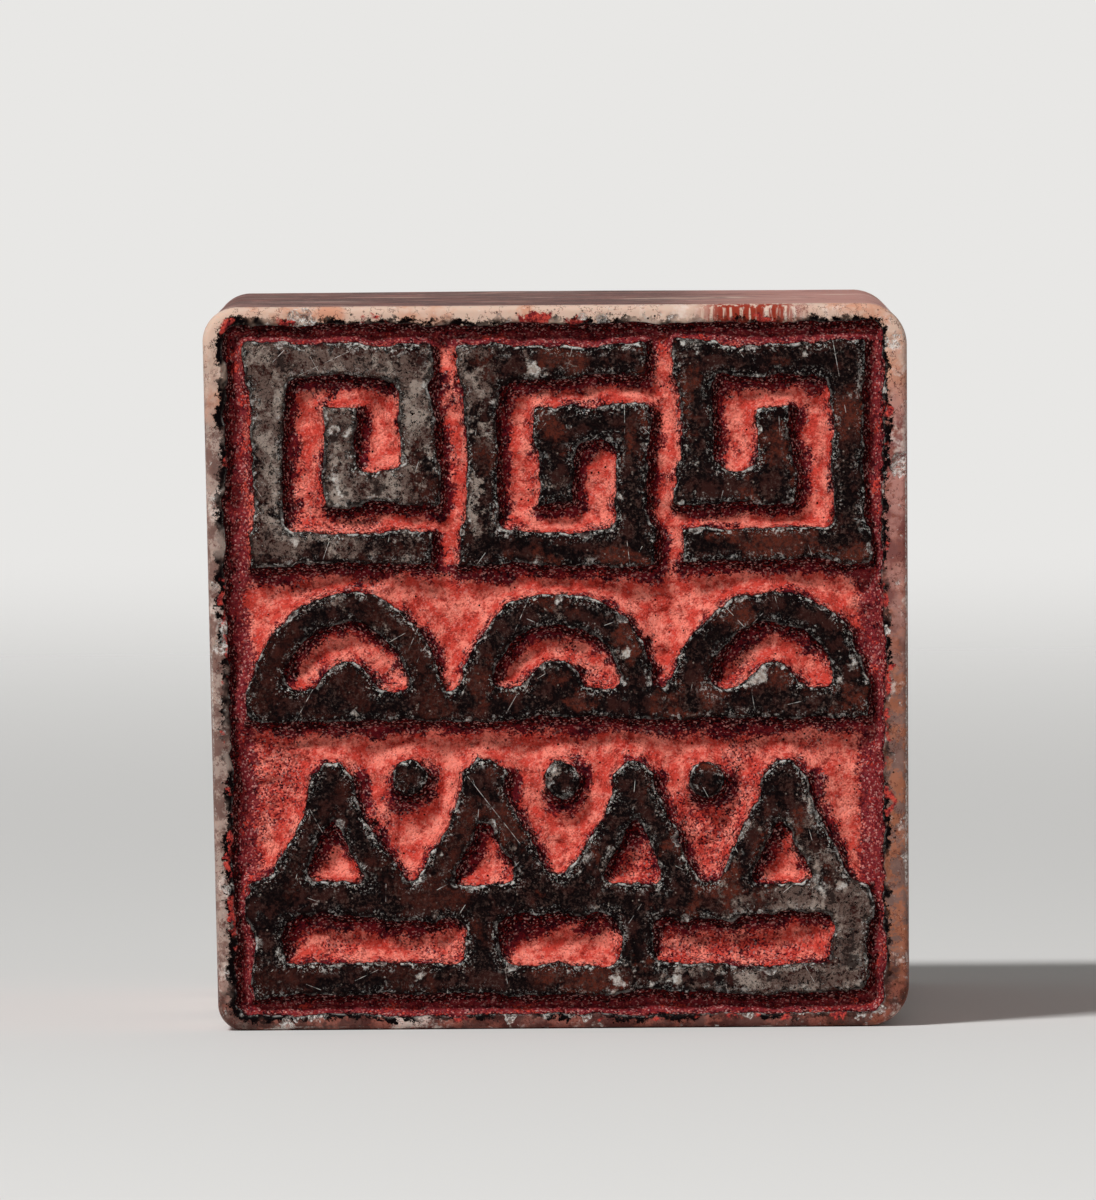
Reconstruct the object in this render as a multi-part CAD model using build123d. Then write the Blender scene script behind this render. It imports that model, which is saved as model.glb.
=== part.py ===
from build123d import *
import math
import os

# A square-faced relief seal cut from one column of soft stone. It lies on its
# side as it is shown: the cut face looks along -Y, the plain end along +Y.
# Millimetres, +Z up, origin at the middle of the side that it lies on.

# Stone column
block_width = 30.0
block_height = 30.8
block_length = 50.0
left_side_lean = 0.5
right_side_lean = 0.1
radius_top_left = 1.5
radius_top_right = 1.8
radius_bottom_right = 1.8
radius_bottom_left = 1.1
face_edge_radius = 0.35
plain_end_radius = 1.2

# Rim round the cut face
rim_left = 0.8
rim_right = 1.0
rim_top = 0.8
rim_bottom = 0.6
rim_corner_radius = 0.6

# Depth of the carving, and how far its walls lean
carving_depth = 1.3
wall_draft = 12.0
seat_overlap = 0.4
cut_overrun = 0.5

# Channels between the rim and the ornament, and between its bands
channel_left = 0.75
channel_right = 0.8
channel_top = 0.9
channel_bottom = 0.8
band_channel = 1.3

# Heights of the fret, peak and cell bands, of what the fans and channels leave
fret_height_share = 0.47
peak_height_share = 0.29

# Square frets, the top band
fret_count = 3
fret_stroke = 1.35
fret_spacing = 1.4

# Wave fans on a rail, the second band
fan_count = 3
fan_spacing = 0.9
fan_stroke_share = 0.32
fan_boss_share = 0.27
fan_rail_width = 1.25

# Mountain peaks, the third band
peak_count = 4
peak_stroke = 1.2
peak_inset = 0.3
stud_radius = 0.75
stud_drop = 1.3

# Long cells, the bottom band, which carries the peaks
cell_stroke = 1.3
cell_length_shares = (0.37, 0.26, 0.37)

# Each stroke narrows and widens a little from end to end, as cut by hand
hand_shares = (1.0, 0.93, 1.07, 0.95, 1.04, 0.9, 1.02)

# Dried seal paste in the recesses
paste_thickness = 0.45

# Places worked out from the sizes above
face_y = -block_length / 2
centre_z = block_height / 2
foot_depth = carving_depth + seat_overlap
wall_lean = math.tan(math.radians(wall_draft))
half_turn = math.degrees(math.pi)

field_left = -block_width / 2 + left_side_lean + rim_left + channel_left
field_right = block_width / 2 - right_side_lean - rim_right - channel_right
field_top = block_height / 2 - rim_top - channel_top
field_bottom = -block_height / 2 + rim_bottom + channel_bottom
field_width = field_right - field_left

fan_radius = (field_width - (fan_count - 1) * fan_spacing) / fan_count / 2
fan_height = fan_radius + fan_rail_width
shared_height = field_top - field_bottom - fan_height - 2 * band_channel

fret_bottom = field_top - shared_height * fret_height_share
fan_top = fret_bottom - band_channel
fan_base = fan_top - fan_radius
peak_top = fan_base - fan_rail_width - band_channel
cell_top = peak_top - shared_height * peak_height_share


def at_depth(depth):
    """Plane of the cut face moved that far into the stone; its x is +X and its y is +Z."""
    return Plane(origin=(0, face_y + depth, centre_z), x_dir=(1, 0, 0), z_dir=(0, -1, 0))


def outline(left, right, top, bottom, radii):
    """Outline of the face drawn in by a width on each side, its corners rounded in turn."""
    low_left = -block_width / 2 + left_side_lean + left
    low_right = block_width / 2 - right_side_lean - right
    high_left = -block_width / 2 + left
    high_right = block_width / 2 - right
    high = block_height / 2 - top
    low = -block_height / 2 + bottom
    corners = [(high_left, high), (high_right, high), (low_right, low), (low_left, low)]
    shape = Polygon(*corners, align=None)
    for corner, radius in zip(corners, radii):
        nearest = shape.vertices().sort_by_distance((corner[0], corner[1], 0))[0]
        shape = fillet(nearest, radius)
    return shape


def between_depths(outline_at, near, far):
    """Solid between two depths, from outline_at(depth), with straight walls."""
    sections = [(at_depth(depth) * outline_at(depth)).face() for depth in (near, far)]
    return loft(sections, ruled=True)


def raised(outline_at):
    """Stone left standing from below the floor up to the face. outline_at takes the spread."""
    return between_depths(lambda depth: outline_at(depth * wall_lean), 0, foot_depth)


def bar(start, end, start_width, end_width, reach):
    """Straight stroke between two points of the face, its square ends a reach beyond them."""
    run = Vector(end[0] - start[0], end[1] - start[1])
    along = run.normalized()
    across = Vector(-along.Y, along.X)

    def outline_at(spread):
        half_start = start_width / 2 + spread
        half_end = end_width / 2 + spread
        tail = Vector(*start) - along * (reach + spread)
        head = Vector(*end) + along * (reach + spread)
        points = [
            tail + across * half_start,
            tail - across * half_start,
            head - across * half_end,
            head + across * half_end,
        ]
        return Polygon(*[(p.X, p.Y) for p in points], align=None)

    return raised(outline_at)


def path_bars(points, width, turn):
    """One bar for each run of a path, each a little off the nominal width at its ends."""
    bars = []
    for i, (start, end) in enumerate(zip(points, points[1:])):
        start_share = hand_shares[(turn + i) % len(hand_shares)]
        end_share = hand_shares[(turn + i + 1) % len(hand_shares)]
        bars.append(bar(start, end, width * start_share, width * end_share, width / 2))
    return bars


def rail(top, width, turn):
    """Stroke across the whole field, with its upper edge at top."""
    middle = top - width / 2
    ends = [(field_left + width / 2, middle), (field_right - width / 2, middle)]
    return path_bars(ends, width, turn)


def fret_band():
    """Square spirals side by side; the middle one is turned over, the last one is mirrored."""
    pitch = (field_width + fret_spacing) / fret_count
    run = pitch - fret_spacing - fret_stroke
    rise = field_top - fret_bottom - fret_stroke
    step = rise / 3
    spiral = [
        (run, 0),
        (0, 0),
        (0, rise),
        (run, rise),
        (run, step),
        (run / 2, step),
        (run / 2, rise - step),
    ]
    bars = []
    for i in range(fret_count):
        left = field_left + fret_stroke / 2 + i * pitch
        low = fret_bottom + fret_stroke / 2
        last = i == fret_count - 1
        turned = i % 2 == 1
        points = [
            (left + (run - x if last else x), low + (rise - y if turned else y)) for x, y in spiral
        ]
        bars += path_bars(points, fret_stroke, i)
    return bars


def arched(centre, outer, inner):
    """Arched stroke that runs down into the rail under it; a round boss where inner is 0."""
    spread = foot_depth * wall_lean
    end_turn = math.degrees(math.asin(fan_rail_width / 2 / (outer + spread)))
    place = Plane(
        origin=(centre[0], face_y, centre_z + centre[1]), x_dir=(1, 0, 0), z_dir=(0, 0, 1)
    )
    section = [
        (inner, 0),
        (outer, 0),
        (outer + spread, foot_depth),
        (max(inner - spread, 0), foot_depth),
    ]
    axis = Axis(place.origin, (0, -1, 0))
    stroke = revolve(place * Polygon(*section, align=None), axis, half_turn + 2 * end_turn)
    return stroke.rotate(axis, -end_turn)


def wave_band():
    """Arched fans with a round boss each, standing on one rail."""
    strokes = rail(fan_base, fan_rail_width, 0)
    for i in range(fan_count):
        centre = (field_left + fan_radius + i * (2 * fan_radius + fan_spacing), fan_base)
        strokes.append(arched(centre, fan_radius, fan_radius * (1 - fan_stroke_share)))
        strokes.append(arched(centre, fan_radius * fan_boss_share, 0))
    return strokes


def stud(centre):
    """Small round raised spot."""
    return raised(lambda spread: Pos(*centre) * Circle(stud_radius + spread))


def peak_band():
    """Row of mountain peaks on the rail under them, with a stud between each two."""
    half_pitch = (field_width - 2 * peak_inset) / peak_count / 2
    base = cell_top - cell_stroke / 2
    slope = math.atan2(peak_top - base, half_pitch)
    strokes = []
    for i in range(peak_count):
        middle = field_left + peak_inset + (2 * i + 1) * half_pitch

        def outline_at(spread, middle=middle):
            foot_out = half_pitch + spread / math.sin(slope)
            foot_in = half_pitch - (peak_stroke + spread) / math.sin(slope)
            tip_out = peak_top + spread / math.cos(slope)
            tip_in = peak_top - (peak_stroke + spread) / math.cos(slope)
            return Polygon(
                (middle - foot_out, base),
                (middle - foot_in, base),
                (middle, tip_in),
                (middle + foot_in, base),
                (middle + foot_out, base),
                (middle, tip_out),
                align=None,
            )

        strokes.append(raised(outline_at))
        if i > 0:
            strokes.append(stud((middle - half_pitch, peak_top - stud_drop)))
    return strokes


def cell_band():
    """Two rails closed by rungs into long cells."""
    low_top = field_bottom + cell_stroke
    strokes = rail(cell_top, cell_stroke, 2) + rail(low_top, cell_stroke, 4)
    reached = 0.0
    for i, share in enumerate((0.0, *cell_length_shares)):
        reached += share
        u = field_left + cell_stroke / 2 + (field_width - cell_stroke) * reached
        ends = [(u, cell_top - cell_stroke), (u, low_top)]
        strokes += path_bars(ends, cell_stroke, i)
    return strokes


def column():
    """The plain stone column, its long edges and its two ends rounded."""
    radii = (radius_top_left, radius_top_right, radius_bottom_right, radius_bottom_left)
    body = extrude(at_depth(0) * outline(0, 0, 0, 0, radii), block_length, dir=(0, 1, 0))
    front = body.faces().sort_by(Axis.Y)[0]
    body = fillet(front.edges(), face_edge_radius)
    back = body.faces().sort_by(Axis.Y)[-1]
    return fillet(back.edges(), plain_end_radius)


def pocket(near, far):
    """The space inside the rim between two depths, narrowing as it goes in."""

    def section(depth):
        spread = depth * wall_lean
        widths = (rim_left + spread, rim_right + spread, rim_top + spread, rim_bottom + spread)
        return outline(*widths, [rim_corner_radius for width in widths])

    return between_depths(section, near, far)


def named_pastes(pools):
    """Names each pool of paste by its band and its place from left to right."""
    pools = sorted(pools, key=lambda pool: pool.volume, reverse=True)
    named = {"paste_open_channels": pools[0]}
    bands = {
        "paste_under_fan": (fan_base, fan_top),
        "paste_under_peak": (cell_top, peak_top),
        "paste_long_cell": (field_bottom, cell_top),
    }
    for name, (low, high) in bands.items():
        inside = [pool for pool in pools[1:] if low < pool.center().Z - centre_z < high]
        inside.sort(key=lambda pool: pool.center().X)
        for i, pool in enumerate(inside, 1):
            named[f"{name}_{i}"] = pool
    return named


def main():
    strokes = fret_band() + wave_band() + peak_band() + cell_band()
    relief = strokes[0].fuse(*strokes[1:])
    stone = column() - pocket(-cut_overrun, carving_depth) + relief
    paste = pocket(carving_depth - paste_thickness, carving_depth) - relief
    parts = {"seal_stone": stone.solids().sort_by(SortBy.VOLUME)[-1]}
    parts.update(named_pastes(paste.solids()))
    os.makedirs("parts", exist_ok=True)
    for name, part in parts.items():
        export_step(part, f"parts/{name}.step")
        print(name, round(part.volume, 2), len(part.faces()))
    print("stone solids", len(stone.solids()), "pools", len(paste.solids()))


main()
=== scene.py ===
import math

import bpy
import numpy as np
from mathutils import Matrix, Vector


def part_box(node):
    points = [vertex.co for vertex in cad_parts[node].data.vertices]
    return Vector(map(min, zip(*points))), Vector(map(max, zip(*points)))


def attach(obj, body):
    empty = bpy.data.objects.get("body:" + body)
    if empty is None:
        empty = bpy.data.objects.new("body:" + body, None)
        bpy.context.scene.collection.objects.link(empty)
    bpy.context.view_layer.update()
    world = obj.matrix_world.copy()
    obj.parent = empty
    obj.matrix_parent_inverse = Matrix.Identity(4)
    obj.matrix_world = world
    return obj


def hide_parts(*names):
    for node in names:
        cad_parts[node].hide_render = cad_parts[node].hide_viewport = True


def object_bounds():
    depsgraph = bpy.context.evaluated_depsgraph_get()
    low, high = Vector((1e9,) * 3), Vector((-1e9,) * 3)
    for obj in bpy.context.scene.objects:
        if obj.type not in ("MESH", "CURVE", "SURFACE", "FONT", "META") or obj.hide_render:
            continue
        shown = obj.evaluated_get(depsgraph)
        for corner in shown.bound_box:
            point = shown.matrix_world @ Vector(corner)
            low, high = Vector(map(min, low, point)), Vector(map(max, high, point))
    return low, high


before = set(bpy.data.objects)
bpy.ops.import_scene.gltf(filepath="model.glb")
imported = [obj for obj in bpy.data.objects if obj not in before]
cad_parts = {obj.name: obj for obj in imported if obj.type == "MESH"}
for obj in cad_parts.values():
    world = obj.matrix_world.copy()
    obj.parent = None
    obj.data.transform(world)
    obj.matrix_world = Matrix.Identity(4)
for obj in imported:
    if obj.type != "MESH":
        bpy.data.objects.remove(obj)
cadLow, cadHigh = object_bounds()
stoneLow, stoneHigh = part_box("seal_stone")
middleZ = (stoneLow.z + stoneHigh.z) / 2
mm = 0.001
tiny = 1e-6


# Camera, set first so that every piece is judged from the photo's place
view = {
    "photoWidth": 1096,
    "photoHeight": 1200,
    "pixelsPerMm": 23.5,  # on the plane of the cut face
    "faceCentrePixel": (557, 667),
    "vanishingPixel": (580, -70),  # where the stone's long edges would meet
    "distance": 1200.0,  # mm, from the cut face
    "roll": 0.4,
    "sensor": 36.0,
    "nearest": 0.05,  # metres, what the camera sees
    "farthest": 50,
}


def setCamera():
    scale = view["pixelsPerMm"]
    focal = view["distance"] * scale
    middle = (view["photoWidth"] / 2, view["photoHeight"] / 2)
    turn = math.atan((view["vanishingPixel"][0] - middle[0]) / focal)
    tilt = math.atan((middle[1] - view["vanishingPixel"][1]) / focal)
    forward = Vector((-math.sin(turn) * math.cos(tilt), math.cos(turn) * math.cos(tilt), -math.sin(tilt)))
    level = forward.cross(Vector((0, 0, 1))).normalized()
    upright = level.cross(forward)
    roll = math.radians(view["roll"])
    right = level * math.cos(roll) - upright * math.sin(roll)
    up = upright * math.cos(roll) + level * math.sin(roll)
    faceCentre = Vector(((stoneLow.x + stoneHigh.x) / 2, stoneLow.y, middleZ))
    across = (view["faceCentrePixel"][0] - middle[0]) / scale * mm
    down = (view["faceCentrePixel"][1] - middle[1]) / scale * mm
    place = faceCentre - forward * view["distance"] * mm - right * across + up * down
    bpy.ops.object.camera_add(location=place)
    camera = bpy.context.object
    camera.name = "photoCamera"
    camera.rotation_euler = Matrix((right, up, -forward)).transposed().to_euler()
    frameHeight = view["photoHeight"] / scale
    camera.data.sensor_width = view["sensor"]
    camera.data.lens = view["sensor"] * view["distance"] / frameHeight
    camera.data.clip_start = view["nearest"]
    camera.data.clip_end = view["farthest"]
    bpy.context.scene.camera = camera


setCamera()
print("camera set")


swells = {"count": 4096, "shift": 500}  # the shift keeps every cell's number above 0


# Smooth random numbers. x, y and z are in mm, cell is the size of one swell in mm
def grain(x, y, z, cell, seed):
    dice = np.random.default_rng(seed)
    count, shift = swells["count"], swells["shift"]
    values = dice.uniform(-1, 1, count)
    order = dice.permutation(count)

    def corner(i, j, k):
        return values[(order[(order[i % count] + j) % count] + k) % count]

    px, py, pz = x / cell + shift, y / cell + shift, z / cell + shift
    ix, iy, iz = (np.floor(p).astype(int) for p in (px, py, pz))
    fx, fy, fz = px - ix, py - iy, pz - iz
    fx, fy, fz = (f * f * (3 - 2 * f) for f in (fx, fy, fz))
    total = 0
    for dx in (0, 1):
        for dy in (0, 1):
            for dz in (0, 1):
                share = abs(1 - dx - fx) * abs(1 - dy - fy) * abs(1 - dz - fz)
                total = total + share * corner(ix + dx, iy + dy, iz + dz)
    return total


# Adds swells of several sizes over the face, each with its size and how far it swings
def addSwells(value, layers, u, v, seed):
    for i, (cell, amount) in enumerate(layers):
        value = value + amount * grain(u, v, 0 * u, cell, seed + i)
    return value


def smoothStep(low, high, value):
    t = np.clip((value - low) / (high - low), 0, 1)
    return t * t * (3 - 2 * t)


# Two distances run into each other over a blend width, as a knife leaves them
def softMin(a, b, width):
    near = np.maximum(width - np.abs(a - b), 0) / width
    return np.minimum(a, b) - near * near * width / 4


# The cut face: u to the right and v up from the middle of the block, in mm
block = {
    "width": 30.0,
    "leftLean": 0.5,
    "rightLean": 0.1,
    "cornerRadii": {"topLeft": 1.5, "topRight": 1.8, "bottomRight": 1.8, "bottomLeft": 1.1},
    "faceEdgeRadius": 0.35,
    "plainEndRadius": 1.2,
    "height": (stoneHigh.z - stoneLow.z) / mm,
    "length": (stoneHigh.y - stoneLow.y) / mm,
}

rim = {
    "left": 0.8,
    "right": 1.0,
    "top": 0.8,
    "bottom": 0.6,
    "cornerRadius": 0.6,
    "wander": ((3.1, 0.1), (0.9, 0.07), (0.33, 0.05)),  # swell and how far it moves the inner edge
    "leftShare": 1.7,
    "rightShare": 1.3,
}

ornament = {
    "channels": {"left": 0.75, "right": 0.8, "top": 0.9, "bottom": 0.8, "band": 1.3},
    "frets": {"count": 3, "heightShare": 0.47, "stroke": 1.35, "spacing": 1.4},
    "fans": {"count": 3, "spacing": 0.9, "strokeShare": 0.32, "bossShare": 0.27, "rail": 1.25},
    "peaks": {"count": 4, "heightShare": 0.29, "stroke": 1.2, "inset": 0.3},
    "studs": {"radius": 0.75, "drop": 1.3},
    "cells": {"stroke": 1.3, "lengthShares": (0.37, 0.26, 0.37)},
    "handShares": (1.0, 0.93, 1.07, 0.95, 1.04, 0.9, 1.02),
}

carving = {
    "depth": 1.3,
    "scoop": 0.3,  # the part of the depth that lies in the scooped floor, and how soon it is reached
    "scoopRun": 0.5,
    "wallRun": 0.24,  # how far a wall leans over its height
    "cornerBlend": 0.75,
    "wobbles": ((4.6, 0.15), (1.7, 0.12), (0.7, 0.07)),  # swell and how far it moves an edge
    "edgeGrain": ((0.34, 0.055), (0.17, 0.03)),
    "unevenTop": ((1.9, 0.012), (0.35, 0.008)),
    "wornWidth": {"mean": 0.15, "cell": 0.6, "swing": 0.08},
    "wornDepth": {"mean": 0.085, "cell": 0.5, "swing": 0.06},
    "gridCells": (430, 442),
    "snapStep": 0.02,
    "leastSteep": 0.2,
    "triangles": 194000,
}


# Distances inwards from the four sides of the block
def sideDistances(u, v):
    down = (block["height"] / 2 - v) / block["height"]
    left = u + block["width"] / 2 - block["leftLean"] * down
    right = block["width"] / 2 - block["rightLean"] * down - u
    return left, right, block["height"] / 2 - v, v + block["height"] / 2


def insideCorner(a, b, radius):
    reach = radius - np.hypot(np.maximum(radius - a, 0), np.maximum(radius - b, 0))
    return np.where((a < radius) & (b < radius), reach, np.minimum(a, b))


# How far a point lies inside four sides with round corners
def insideSides(left, right, top, bottom, radii):
    corners = {"topLeft": (left, top), "topRight": (right, top)}
    corners.update(bottomRight=(right, bottom), bottomLeft=(left, bottom))
    return np.minimum.reduce([insideCorner(*corners[name], radius) for name, radius in radii.items()])


# How far inside the block's outline a point of the face lies
def outlineInset(u, v):
    return insideSides(*sideDistances(u, v), block["cornerRadii"])


# How far inside the rim a point lies, below 0 on the rim itself
def pocketInset(u, v):
    left, right, top, bottom = sideDistances(u, v)
    wander = addSwells(0, rim["wander"], u, v, 41)
    left = left - rim["left"] + rim["leftShare"] * wander
    right = right - rim["right"] + rim["rightShare"] * wander
    top, bottom = top - rim["top"] + wander, bottom - rim["bottom"] + wander
    return insideSides(left, right, top, bottom, dict.fromkeys(block["cornerRadii"], rim["cornerRadius"]))


def strokeDistance(u, v, start, end, startWidth, endWidth, reach):
    run = math.hypot(end[0] - start[0], end[1] - start[1])
    alongU, alongV = (end[0] - start[0]) / run, (end[1] - start[1]) / run
    along = (u - start[0]) * alongU + (v - start[1]) * alongV
    across = (v - start[1]) * alongU - (u - start[0]) * alongV
    half = startWidth / 2 + (endWidth - startWidth) / 2 * np.clip(along / run, 0, 1)
    a = np.abs(along - run / 2) - run / 2 - reach
    b = np.abs(across) - half
    outside = np.hypot(np.maximum(a, 0), np.maximum(b, 0))
    return outside + np.minimum(np.maximum(a, b), 0)


# The places that the bands of ornament share, worked out as the stone was marked out
def markOut():
    channels, fans, peaks = ornament["channels"], ornament["fans"], ornament["peaks"]
    place = {
        "left": -block["width"] / 2 + block["leftLean"] + rim["left"] + channels["left"],
        "right": block["width"] / 2 - block["rightLean"] - rim["right"] - channels["right"],
        "top": block["height"] / 2 - rim["top"] - channels["top"],
        "bottom": -block["height"] / 2 + rim["bottom"] + channels["bottom"],
    }
    place["width"] = place["right"] - place["left"]
    place["fanRadius"] = (place["width"] - (fans["count"] - 1) * fans["spacing"]) / fans["count"] / 2
    fanHeight = place["fanRadius"] + fans["rail"]
    shared = place["top"] - place["bottom"] - fanHeight - 2 * channels["band"]
    place["fretBottom"] = place["top"] - shared * ornament["frets"]["heightShare"]
    place["fanBase"] = place["fretBottom"] - channels["band"] - place["fanRadius"]
    place["peakTop"] = place["fanBase"] - fans["rail"] - channels["band"]
    place["cellTop"] = place["peakTop"] - shared * peaks["heightShare"]
    place["halfPitch"] = (place["width"] - 2 * peaks["inset"]) / peaks["count"] / 2
    return place


marks = markOut()


# Each run of a path: start, end, the width at both, and how far its ends go past
def pathStrokes(points, width, turn):
    shares = ornament["handShares"]
    strokes = []
    for i, (start, end) in enumerate(zip(points, points[1:])):
        startShare = shares[(turn + i) % len(shares)]
        endShare = shares[(turn + i + 1) % len(shares)]
        strokes.append((start, end, width * startShare, width * endShare, width / 2))
    return strokes


def railStrokes(top, width, turn):
    middle = top - width / 2
    ends = [(marks["left"] + width / 2, middle), (marks["right"] - width / 2, middle)]
    return pathStrokes(ends, width, turn)


def fretStrokes():
    frets = ornament["frets"]
    width = frets["stroke"]
    pitch = (marks["width"] + frets["spacing"]) / frets["count"]
    run = pitch - frets["spacing"] - width
    rise = marks["top"] - marks["fretBottom"] - width
    step = rise / 3
    spiral = [(run, 0), (0, 0), (0, rise), (run, rise), (run, step), (run / 2, step), (run / 2, rise - step)]
    strokes = []
    for i in range(frets["count"]):
        left = marks["left"] + width / 2 + i * pitch
        low = marks["fretBottom"] + width / 2
        last = i == frets["count"] - 1
        turned = i % 2 == 1
        points = [(left + (run - x if last else x), low + (rise - y if turned else y)) for x, y in spiral]
        strokes += pathStrokes(points, width, i)
    return strokes


def cellStrokes():
    width = ornament["cells"]["stroke"]
    lowTop = marks["bottom"] + width
    strokes = railStrokes(marks["cellTop"], width, 2) + railStrokes(lowTop, width, 4)
    reached = 0.0
    for i, share in enumerate((0.0, *ornament["cells"]["lengthShares"])):
        reached += share
        u = marks["left"] + width / 2 + (marks["width"] - width) * reached
        strokes += pathStrokes([(u, marks["cellTop"] - width), (u, lowTop)], width, i)
    return strokes


def peakStrokes():
    peaks, halfPitch = ornament["peaks"], marks["halfPitch"]
    base = marks["cellTop"] - ornament["cells"]["stroke"] / 2
    rise = marks["peakTop"] - base
    slope = math.atan2(rise, halfPitch)
    foot = halfPitch - peaks["stroke"] / 2 / math.sin(slope)
    tip = marks["peakTop"] - peaks["stroke"] / 2 / math.cos(slope)
    strokes = []
    for i in range(peaks["count"]):
        middle = marks["left"] + peaks["inset"] + (2 * i + 1) * halfPitch
        for side in (-1, 1):
            ends = [(middle + side * foot, base), (middle, tip)]
            strokes += pathStrokes(ends, peaks["stroke"], 2 * i + side + 1)
    return strokes


def studCentres():
    peaks, pitch = ornament["peaks"], 2 * marks["halfPitch"]
    first, height = marks["left"] + peaks["inset"], marks["peakTop"] - ornament["studs"]["drop"]
    return [(first + i * pitch, height) for i in range(1, peaks["count"])]


def fanCentres():
    fans, radius = ornament["fans"], marks["fanRadius"]
    pitch = 2 * radius + fans["spacing"]
    return [(marks["left"] + radius + i * pitch, marks["fanBase"]) for i in range(fans["count"])]


# How far a point of the face lies from the nearest raised stroke, below 0 on a stroke
def reliefDistance(u, v):
    wide, high = u, v
    u = addSwells(u, carving["wobbles"], wide, high, 11)
    v = addSwells(v, carving["wobbles"], wide, high, 21)
    blend = carving["cornerBlend"]
    distance = np.full(u.shape, 99.0)
    for stroke in fretStrokes() + railStrokes(marks["fanBase"], ornament["fans"]["rail"], 0):
        distance = softMin(distance, strokeDistance(u, v, *stroke), blend)
    for stroke in cellStrokes() + peakStrokes():
        distance = softMin(distance, strokeDistance(u, v, *stroke), blend)
    fans, radius = ornament["fans"], marks["fanRadius"]
    halfStroke = radius * fans["strokeShare"] / 2
    for centre in fanCentres():
        reach = np.hypot(u - centre[0], v - centre[1])
        under = centre[1] - fans["rail"] / 2 - v
        ring = np.maximum(np.abs(reach - radius + halfStroke) - halfStroke, under)
        boss = np.maximum(reach - radius * fans["bossShare"], under)
        distance = softMin(softMin(distance, ring, blend), boss, blend)
    for centre in studCentres():
        distance = np.minimum(distance, np.hypot(u - centre[0], v - centre[1]) - ornament["studs"]["radius"])
    return addSwells(distance, carving["edgeGrain"], wide, high, 31)


# How far into the recesses a point lies: below 0 on the strokes and the rim
def cutDistance(u, v):
    return np.minimum(reliefDistance(u, v), pocketInset(u, v))


# How fast that distance grows to the right and upwards
def cutSlopes(u, v, step):
    right = (cutDistance(u + step, v) - cutDistance(u - step, v)) / (2 * step)
    up = (cutDistance(u, v + step) - cutDistance(u, v - step)) / (2 * step)
    return right, up


# How far a rounded edge falls back, by the distance inwards from it
def edgeFall(inset, radius):
    return radius - np.sqrt(np.maximum(radius ** 2 - np.maximum(radius - inset, 0) ** 2, 0))


# Depth of the bare stone under the face, in mm
def stoneDepth(cut, u, v):
    flat = 0 * u
    lean = np.clip(cut / carving["wallRun"], 0, 1)
    wall = (carving["depth"] - carving["scoop"]) * (1 - (1 - lean) ** 2)
    past = np.maximum(cut - carving["wallRun"], 0)
    scoop = carving["scoop"] * (1 - np.exp(-past / carving["scoopRun"]))
    width, depth = carving["wornWidth"], carving["wornDepth"]
    wornWidth = width["mean"] + width["swing"] * grain(u, v, flat, width["cell"], 53)
    wornDepth = depth["mean"] + depth["swing"] * grain(u, v, flat, depth["cell"], 54)
    worn = wornDepth * smoothStep(-1, 0, np.minimum(cut, 0) / wornWidth)
    swings = enumerate(carving["unevenTop"])
    top = sum(amount * (1 + grain(u, v, flat, cell, 51 + i)) for i, (cell, amount) in swings)
    return np.where(cut > 0, wall + scoop, 0) + worn + top


# Dried paste: one sheet over every recess, later parted into its pools and given its thickness
paste = {
    "rimDepth": 0.2,  # under the face, where it meets a stroke, and in the middle of a recess
    "floorDepth": 1.14,
    "bowlRun": 0.46,
    "bowlPower": 1.2,
    "lumps": ((1.5, 0.13), (0.5, 0.08)),  # swell and height, in mm
    "powder": {"cell": 0.2, "height": 0.03},
    "clods": {"cell": 0.9, "height": 0.16, "share": (0.35, 0.75), "offWall": (0.2, 0.6)},
    "smoothWall": 0.4,
    "thickness": 0.34,
    "leastThickness": 0.12,
    "triangles": {"paste_open_channels": 120000},
    "otherTriangles": 9000,
}


# Depth of the dried paste's surface, a bowl that climbs at the walls, with clods in it
def pasteDepth(cut, u, v):
    flat = 0 * u
    low, high = paste["rimDepth"], paste["floorDepth"]
    run = np.maximum(cut, 0) / paste["bowlRun"]
    bowl = low + (high - low) * (1 - np.exp(-run ** paste["bowlPower"]))
    clods, powder = paste["clods"], paste["powder"]
    clod = clods["height"] * smoothStep(*clods["share"], grain(u, v, flat, clods["cell"], 64))
    clod = clod * smoothStep(*clods["offWall"], cut)
    lumps = addSwells(0, paste["lumps"], u, v, 61) * smoothStep(0, paste["smoothWall"], cut)
    return bowl - clod + lumps + powder["height"] * grain(u, v, flat, powder["cell"], 63)


# Bites out of the edges of the face, most of them where an edge faces up
bites = {
    "count": 460,
    "tries": 60000,
    "nearEdge": 0.07,
    "step": 0.05,
    "chances": {"up": 1.0, "level": 0.6, "down": 0.35},
    "radius": {"least": 0.08, "spread": 0.24, "power": 4},
    "depthShare": (0.3, 0.7),
    "ragged": ((0.27, 0.5), (0.12, 0.45)),
    "reach": 1.4,
    "hollow": 0.6,
}


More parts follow.
